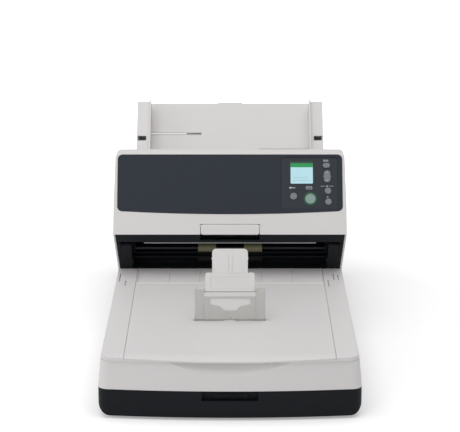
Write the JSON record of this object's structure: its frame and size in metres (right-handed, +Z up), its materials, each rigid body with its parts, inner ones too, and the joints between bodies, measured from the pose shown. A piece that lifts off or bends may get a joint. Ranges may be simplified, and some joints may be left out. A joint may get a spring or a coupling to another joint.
{
  "type": "document scanner",
  "caption": "Desktop document scanner with a sheet feeder and operator panel over a flatbed whose hinged lid carries a folding stopper.",
  "frame": {"origin": "middle of the footprint box, on the surface that the feet stand on", "axes": "+X to the right seen from the front, +Y from the front to the rear, +Z up"},
  "size_m": [0.3, 0.577, 0.2664],
  "materials": {
    "white_plastic": "fine moulded texture",
    "grey_plastic": "fine moulded texture",
    "dark_plastic": "fine moulded texture",
    "panel_plastic": "satin",
    "operator_plastic": "satin",
    "button_plastic": "satin",
    "scan_button_plastic": "satin",
    "screen": "backlit display",
    "clear_plastic": "translucent",
    "glass": "polished",
    "rubber": "matt",
    "roller_rubber": "matt",
    "steel": "brushed",
    "board": "solder mask",
    "belt": "toothed belt",
    "pad": "white foam"
  },
  "bodies": {
    "base": {"base_tray": "dark_plastic", "base_casing": "white_plastic", "rubber_feet": "rubber", "flatbed_glass": "glass", "carriage_rod": "steel", "bed_belt": "belt", "bed_motor": "steel", "main_board": "board", "rear_sockets": "steel", "case_screws": "steel", "lid_hinge_brackets": "steel", "left_feeder_cover": "white_plastic", "right_feeder_cover": "white_plastic", "rear_cover": "white_plastic", "exit_bezel": "dark_plastic", "feeder_chassis": "grey_plastic", "lower_guide": "dark_plastic", "lower_scan_unit": "dark_plastic", "feed_motor": "steel", "drive_belts": "belt", "chute_panel": "white_plastic"},
    "lid": {"lid_frame": "white_plastic", "lid_panel": "white_plastic", "document_pad": "pad"},
    "cover": {"cover_shell": "white_plastic", "front_panel": "panel_plastic", "operator_panel": "operator_plastic", "display": "screen", "exit_lip": "dark_plastic", "upper_guide": "dark_plastic", "upper_scan_unit": "dark_plastic", "static_brush": "steel"},
    "stopper_frame": {"stopper_frame": "clear_plastic"},
    "stopper_flap": {"stopper_flap": "clear_plastic"},
    "stopper_plate": {"stopper_plate": "white_plastic"},
    "release_tab": {"release_tab": "white_plastic"},
    "back_button": {"back_button": "button_plastic"},
    "scan_button": {"scan_button": "scan_button_plastic"},
    "stop_button": {"stop_button": "button_plastic"},
    "power_button": {"power_button": "button_plastic"},
    "menu_button": {"menu_button": "button_plastic"},
    "rocker_button": {"rocker_button": "button_plastic"},
    "left_side_guide": {"left_side_guide": "white_plastic"},
    "right_side_guide": {"right_side_guide": "white_plastic"},
    "guide_pinion": {"guide_pinion": "grey_plastic"},
    "inner_extension": {"inner_extension": "white_plastic"},
    "outer_extension": {"outer_extension": "white_plastic"},
    "scan_carriage": {"scan_carriage": "dark_plastic"},
    "belt_idler_pulley": {"belt_idler_pulley": "grey_plastic"},
    "belt_drive_pulley": {"belt_drive_pulley": "grey_plastic"},
    "lock_slider": {"lock_slider": "dark_plastic"},
    "eject_roller": {"eject_roller": "roller_rubber"},
    "front_feed_roller": {"front_feed_roller": "roller_rubber"},
    "rear_feed_roller": {"rear_feed_roller": "roller_rubber"},
    "pick_roller": {"pick_roller": "roller_rubber"},
    "motor_pulley": {"motor_pulley": "steel"},
    "upper_eject_roller": {"upper_eject_roller": "roller_rubber"},
    "upper_front_feed_roller": {"upper_front_feed_roller": "grey_plastic"},
    "upper_rear_feed_roller": {"upper_rear_feed_roller": "grey_plastic"},
    "brake_roller": {"brake_roller": "roller_rubber"}
  },
  "joints": [
    {"name": "lid_hinge", "type": "hinge", "parent": "base", "child": "lid", "pos_m": [0, 0.0355, 0.0735], "axis": [-1, 0, 0], "range_deg": [0, 55]},
    {"name": "cover_hinge", "type": "hinge", "parent": "base", "child": "cover", "pos_m": [0, 0.0295, 0.112], "axis": [-1, 0, 0], "range_deg": [-72, 0]},
    {"name": "stopper_fold", "type": "hinge", "parent": "lid", "child": "stopper_frame", "pos_m": [0, -0.1575, 0.07828], "axis": [-1, 0, 0], "range_deg": [0, 88]},
    {"name": "flap_fold", "type": "hinge", "parent": "stopper_frame", "child": "stopper_flap", "pos_m": [0, -0.1575, 0.11408], "axis": [1, 0, 0], "range_deg": [0, 90]},
    {"name": "plate_slide", "type": "slide", "parent": "stopper_flap", "child": "stopper_plate", "axis": [0, 0, 1], "range_m": [-0.014, 0]},
    {"name": "tab_hinge", "type": "hinge", "parent": "cover", "child": "release_tab", "pos_m": [0, 0.01708, 0.14404], "axis": [-1, 0, 0], "range_deg": [0, 22], "stiffness_Nm_per_rad": 0.02},
    {"name": "back_button_press", "type": "slide", "parent": "cover", "child": "back_button", "axis": [0, 0.8963, -0.4435], "range_m": [0, 0.0008], "stiffness_N_per_m": 400},
    {"name": "scan_button_press", "type": "slide", "parent": "cover", "child": "scan_button", "axis": [0, 0.8963, -0.4435], "range_m": [0, 0.0008], "stiffness_N_per_m": 400},
    {"name": "stop_button_press", "type": "slide", "parent": "cover", "child": "stop_button", "axis": [0, 0.8963, -0.4435], "range_m": [0, 0.0008], "stiffness_N_per_m": 400},
    {"name": "power_button_press", "type": "slide", "parent": "cover", "child": "power_button", "axis": [0, 0.8963, -0.4435], "range_m": [0, 0.0008], "stiffness_N_per_m": 400},
    {"name": "menu_button_press", "type": "slide", "parent": "cover", "child": "menu_button", "axis": [0, 0.8963, -0.4435], "range_m": [0, 0.0008], "stiffness_N_per_m": 400},
    {"name": "rocker_tilt", "type": "hinge", "parent": "cover", "child": "rocker_button", "pos_m": [0.1251, 0.04546, 0.20185], "axis": [1, 0, 0], "range_deg": [-3, 3], "stiffness_Nm_per_rad": 0.3},
    {"name": "left_guide_slide", "type": "slide", "parent": "base", "child": "left_side_guide", "axis": [1, 0, 0], "range_m": [0, 0.0754]},
    {"name": "right_guide_slide", "type": "slide", "parent": "base", "child": "right_side_guide", "axis": [-1, 0, 0], "range_m": [0, 0.0754]},
    {"name": "pinion_turn", "type": "hinge", "parent": "base", "child": "guide_pinion", "pos_m": [0, 0.20867, 0.21092], "axis": [0, 0.7672, -0.6414], "range_deg": [0, 480]},
    {"name": "inner_extension_slide", "type": "slide", "parent": "base", "child": "inner_extension", "axis": [0, 0.6414, 0.7672], "range_m": [0, 0.08]},
    {"name": "outer_extension_slide", "type": "slide", "parent": "inner_extension", "child": "outer_extension", "axis": [0, 0.6414, 0.7672], "range_m": [0, 0.074]},
    {"name": "carriage_slide", "type": "slide", "parent": "base", "child": "scan_carriage", "axis": [0, 1, 0], "range_m": [0, 0.26]},
    {"name": "belt_idler_pulley_spin", "type": "hinge", "parent": "base", "child": "belt_idler_pulley", "pos_m": [0.034, -0.2685, 0.0361], "axis": [0, 0, 1], "range_deg": [0, 2482.83]},
    {"name": "belt_drive_pulley_spin", "type": "hinge", "parent": "base", "child": "belt_drive_pulley", "pos_m": [0.034, 0.0335, 0.0361], "axis": [0, 0, 1], "range_deg": [0, 2482.83]},
    {"name": "lock_slide", "type": "slide", "parent": "base", "child": "lock_slider", "axis": [1, 0, 0], "range_m": [0, 0.008]},
    {"name": "eject_spin", "type": "hinge", "parent": "base", "child": "eject_roller", "pos_m": [0, 0.05947, 0.09016], "axis": [1, 0, 0], "continuous": true},
    {"name": "front_feed_spin", "type": "hinge", "parent": "base", "child": "front_feed_roller", "pos_m": [0, 0.09204, 0.09667], "axis": [1, 0, 0], "continuous": true},
    {"name": "rear_feed_spin", "type": "hinge", "parent": "base", "child": "rear_feed_roller", "pos_m": [0, 0.14238, 0.1244], "axis": [1, 0, 0], "continuous": true},
    {"name": "pick_spin", "type": "hinge", "parent": "base", "child": "pick_roller", "pos_m": [0, 0.16885, 0.1443], "axis": [1, 0, 0], "continuous": true},
    {"name": "motor_spin", "type": "hinge", "parent": "base", "child": "motor_pulley", "pos_m": [0, 0.1495, 0.091], "axis": [1, 0, 0], "continuous": true},
    {"name": "upper_eject_roller_spin", "type": "hinge", "parent": "cover", "child": "upper_eject_roller", "pos_m": [0, 0.05723, 0.10286], "axis": [1, 0, 0], "continuous": true},
    {"name": "upper_front_feed_roller_spin", "type": "hinge", "parent": "cover", "child": "upper_front_feed_roller", "pos_m": [0, 0.08728, 0.11026], "axis": [1, 0, 0], "continuous": true},
    {"name": "upper_rear_feed_roller_spin", "type": "hinge", "parent": "cover", "child": "upper_rear_feed_roller", "pos_m": [0, 0.13342, 0.13568], "axis": [1, 0, 0], "continuous": true},
    {"name": "brake_roller_spin", "type": "hinge", "parent": "cover", "child": "brake_roller", "pos_m": [0, 0.15188, 0.15892], "axis": [1, 0, 0], "continuous": true}
  ],
  "couplings": [
    {"joint": "right_guide_slide", "follows": "left_guide_slide", "ratio": 1},
    {"joint": "pinion_turn", "follows": "left_guide_slide", "rad_per_m": 111.11},
    {"joint": "belt_idler_pulley_spin", "follows": "carriage_slide", "rad_per_m": 166.67},
    {"joint": "belt_drive_pulley_spin", "follows": "carriage_slide", "rad_per_m": 166.67},
    {"joint": "eject_spin", "follows": "pick_spin", "ratio": 1},
    {"joint": "front_feed_spin", "follows": "pick_spin", "ratio": 1},
    {"joint": "rear_feed_spin", "follows": "pick_spin", "ratio": 1},
    {"joint": "motor_spin", "follows": "pick_spin", "ratio": 1.5}
  ]
}
